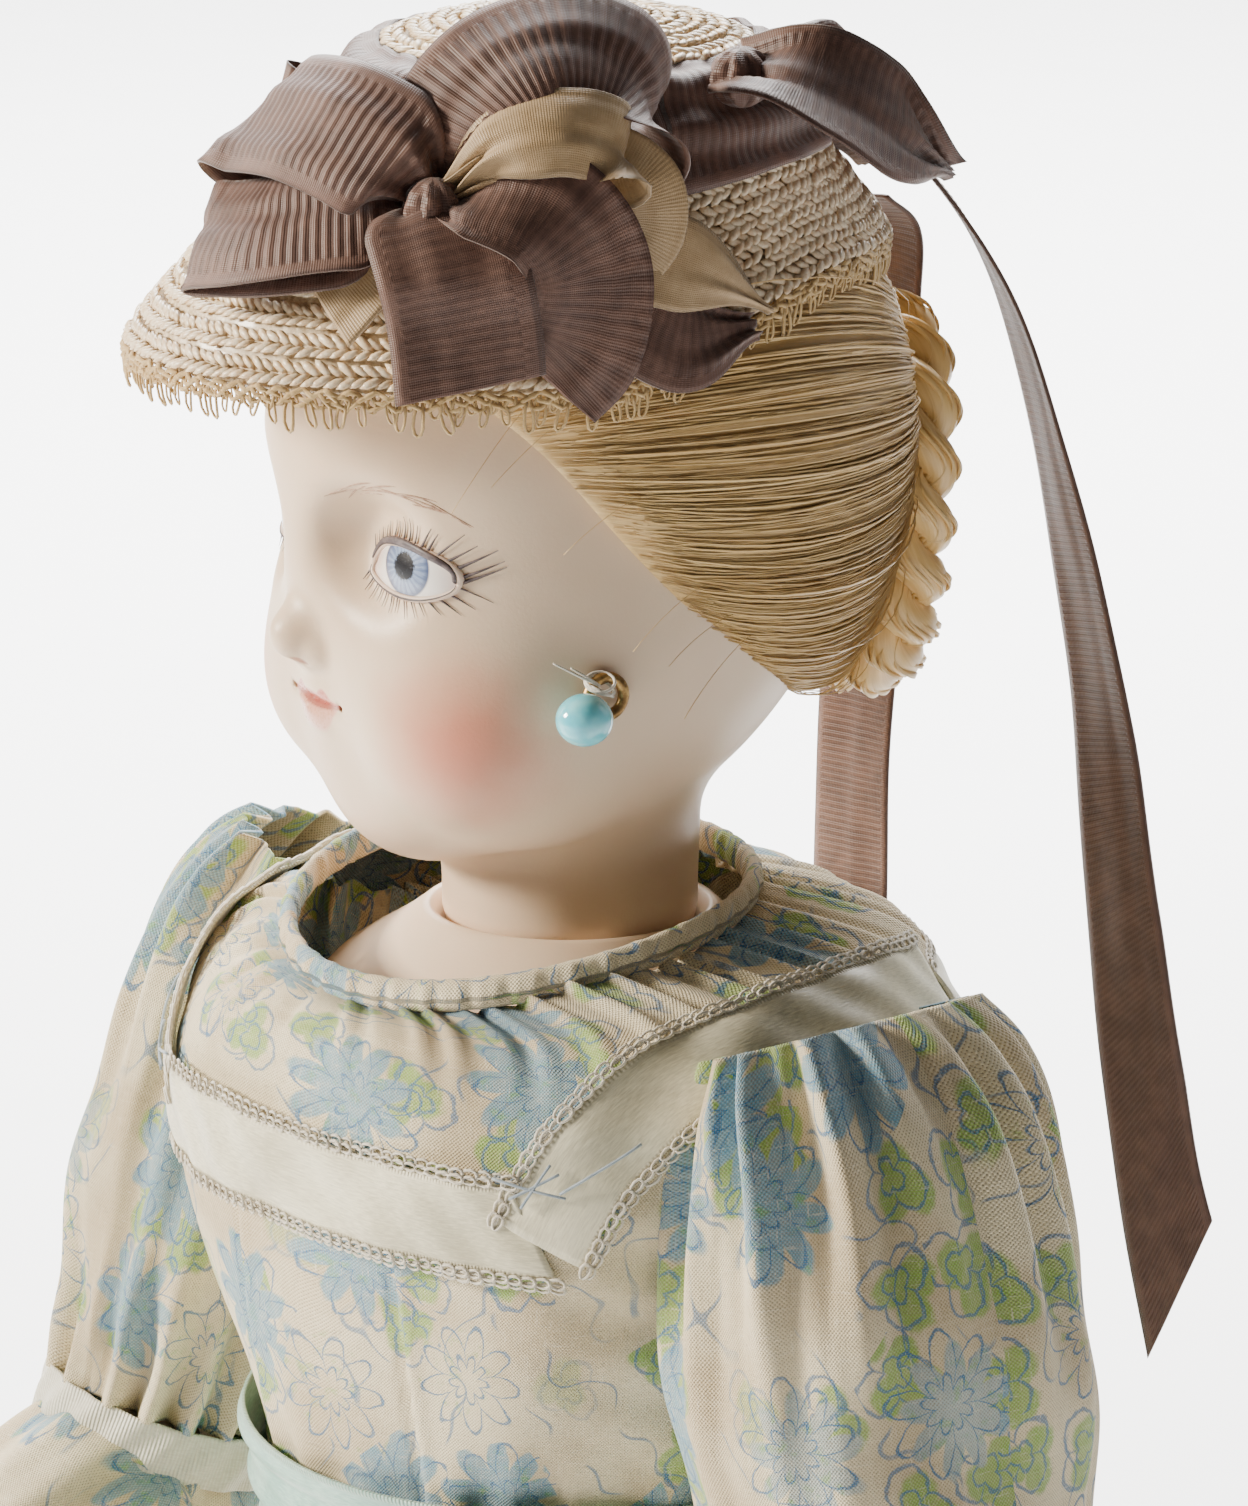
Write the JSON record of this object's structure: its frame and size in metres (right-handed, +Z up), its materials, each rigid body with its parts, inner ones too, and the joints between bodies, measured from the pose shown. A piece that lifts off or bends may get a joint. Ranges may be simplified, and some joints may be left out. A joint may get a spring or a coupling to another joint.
{
  "type": "porcelain doll",
  "caption": "Dressed fashion doll with a bisque swivel head on a shoulder plate, cloth body, bisque limbs, straw hat, wig, earrings and a long printed dress.",
  "frame": {"origin": "on the floor at the middle of the skirt's hem, straight under the neck", "axes": "+Z up; the doll's body faces -Y; its left hand is towards +X"},
  "size_m": [0.184, 0.184, 0.416],
  "materials": {
    "bisque": "unglazed bisque, matt with a soft sheen, painted face",
    "cork": "sanded cork",
    "mohair": "blonde mohair, swept back and braided",
    "straw": "plaited straw braid with a satin sheen",
    "lace": "tan picot lace",
    "brown_ribbon": "mauve-brown grosgrain with satin edges",
    "tan_satin": "tan satin ribbon",
    "turquoise_glass": "opaque turquoise glass bead",
    "brass": "aged brass",
    "thread": "white cotton thread",
    "printed_cotton": "ecru cotton lawn with a blue and green floral print",
    "ivory_satin": "ivory satin ribbon",
    "aqua_satin": "pale aqua silk satin",
    "white_cotton": "plain white cotton",
    "muslin": "stuffed muslin",
    "boot_leather": "polished brown kid",
    "sole_leather": "plain sole leather",
    "pearl": "small shell-like buttons",
    "steel": "drawn steel wire"
  },
  "bodies": {
    "torso": {"shoulder_plate": "bisque", "stuffed_torso": "muslin", "bodice": "printed_cotton", "neckline_band": "printed_cotton", "front_ribbon_trim": "ivory_satin", "left_ribbon_trim": "ivory_satin", "right_ribbon_trim": "ivory_satin", "back_ribbon_trim": "ivory_satin", "back_button_1": "pearl", "back_button_2": "pearl", "back_button_3": "pearl", "waist_sash": "aqua_satin", "sash_bow": "aqua_satin", "left_sash_tail": "aqua_satin", "right_sash_tail": "aqua_satin", "skirt": "printed_cotton", "petticoat": "white_cotton", "left_shoulder_pin": "steel", "right_shoulder_pin": "steel"},
    "neck_fitting": {"neck_rod": "steel", "neck_dome_washer": "brass", "neck_spring": "steel", "wing_nut": "brass"},
    "head": {"head": "bisque", "cork_pate": "cork", "wig": "mohair", "braided_chignon": "mohair", "straw_hat": "straw", "picot_edging": "lace", "hat_band": "brown_ribbon", "front_bow": "brown_ribbon", "tan_satin_loop": "tan_satin", "tan_satin_tail": "tan_satin", "back_bow": "brown_ribbon", "long_streamer": "brown_ribbon", "back_streamer": "brown_ribbon"},
    "left_earring": {"left_earring_hook": "brass", "left_earring_bead": "turquoise_glass", "left_earring_thread": "thread"},
    "left_arm": {"left_upper_arm": "muslin", "left_sleeve_puff": "printed_cotton", "left_sleeve_ribbon": "ivory_satin"},
    "left_forearm": {"left_forearm": "bisque", "left_lower_sleeve": "printed_cotton"},
    "left_leg": {"left_thigh": "muslin", "left_shin": "bisque", "left_boot": "boot_leather", "left_boot_sole": "sole_leather"},
    "right_earring": {"right_earring_hook": "brass", "right_earring_bead": "turquoise_glass", "right_earring_thread": "thread"},
    "right_arm": {"right_upper_arm": "muslin", "right_sleeve_puff": "printed_cotton", "right_sleeve_ribbon": "ivory_satin"},
    "right_forearm": {"right_forearm": "bisque", "right_lower_sleeve": "printed_cotton"},
    "right_leg": {"right_thigh": "muslin", "right_shin": "bisque", "right_boot": "boot_leather", "right_boot_sole": "sole_leather"}
  },
  "joints": [
    {"name": "neck_nod", "type": "hinge", "parent": "torso", "child": "neck_fitting", "pos_m": [0, 0, 0.317], "axis": [1, 0, 0], "range_deg": [-5, 5]},
    {"name": "head_turn", "type": "hinge", "parent": "neck_fitting", "child": "head", "pos_m": [0, 0, 0.317], "axis": [0, 0, 1], "range_deg": [-56, 84], "deforming": ["long_streamer", "back_streamer"]},
    {"name": "left_earring_swing", "type": "hinge", "parent": "head", "child": "left_earring", "pos_m": [0.02475, -0.01648, 0.347], "axis": [0.9703, -0.2419, 0], "range_deg": [-20, 20]},
    {"name": "left_shoulder_swing", "type": "hinge", "parent": "torso", "child": "left_arm", "pos_m": [0.048, 0, 0.298], "axis": [1, 0, 0], "range_deg": [-62, 8], "deforming": ["left_sleeve_puff"]},
    {"name": "left_elbow_bend", "type": "hinge", "parent": "left_arm", "child": "left_forearm", "pos_m": [0.057, 0.001, 0.236], "axis": [1, 0, 0], "range_deg": [-60, 10], "deforming": ["left_lower_sleeve", "left_sleeve_ribbon"]},
    {"name": "left_hip_swing", "type": "hinge", "parent": "torso", "child": "left_leg", "pos_m": [0.016, 0.001, 0.1988], "axis": [1, 0, 0], "range_deg": [-12, 3]},
    {"name": "right_earring_swing", "type": "hinge", "parent": "head", "child": "right_earring", "pos_m": [-0.02959, -0.00293, 0.347], "axis": [0.9703, -0.2419, 0], "range_deg": [-20, 20]},
    {"name": "right_shoulder_swing", "type": "hinge", "parent": "torso", "child": "right_arm", "pos_m": [-0.048, 0, 0.298], "axis": [1, 0, 0], "range_deg": [-54, 24], "deforming": ["right_sleeve_puff"]},
    {"name": "right_elbow_bend", "type": "hinge", "parent": "right_arm", "child": "right_forearm", "pos_m": [-0.057, -0.01613, 0.23813], "axis": [1, 0, 0], "range_deg": [-60, 10], "deforming": ["right_lower_sleeve", "right_sleeve_ribbon"]},
    {"name": "right_hip_swing", "type": "hinge", "parent": "torso", "child": "right_leg", "pos_m": [-0.016, 0.001, 0.1988], "axis": [1, 0, 0], "range_deg": [-12, 3]}
  ]
}
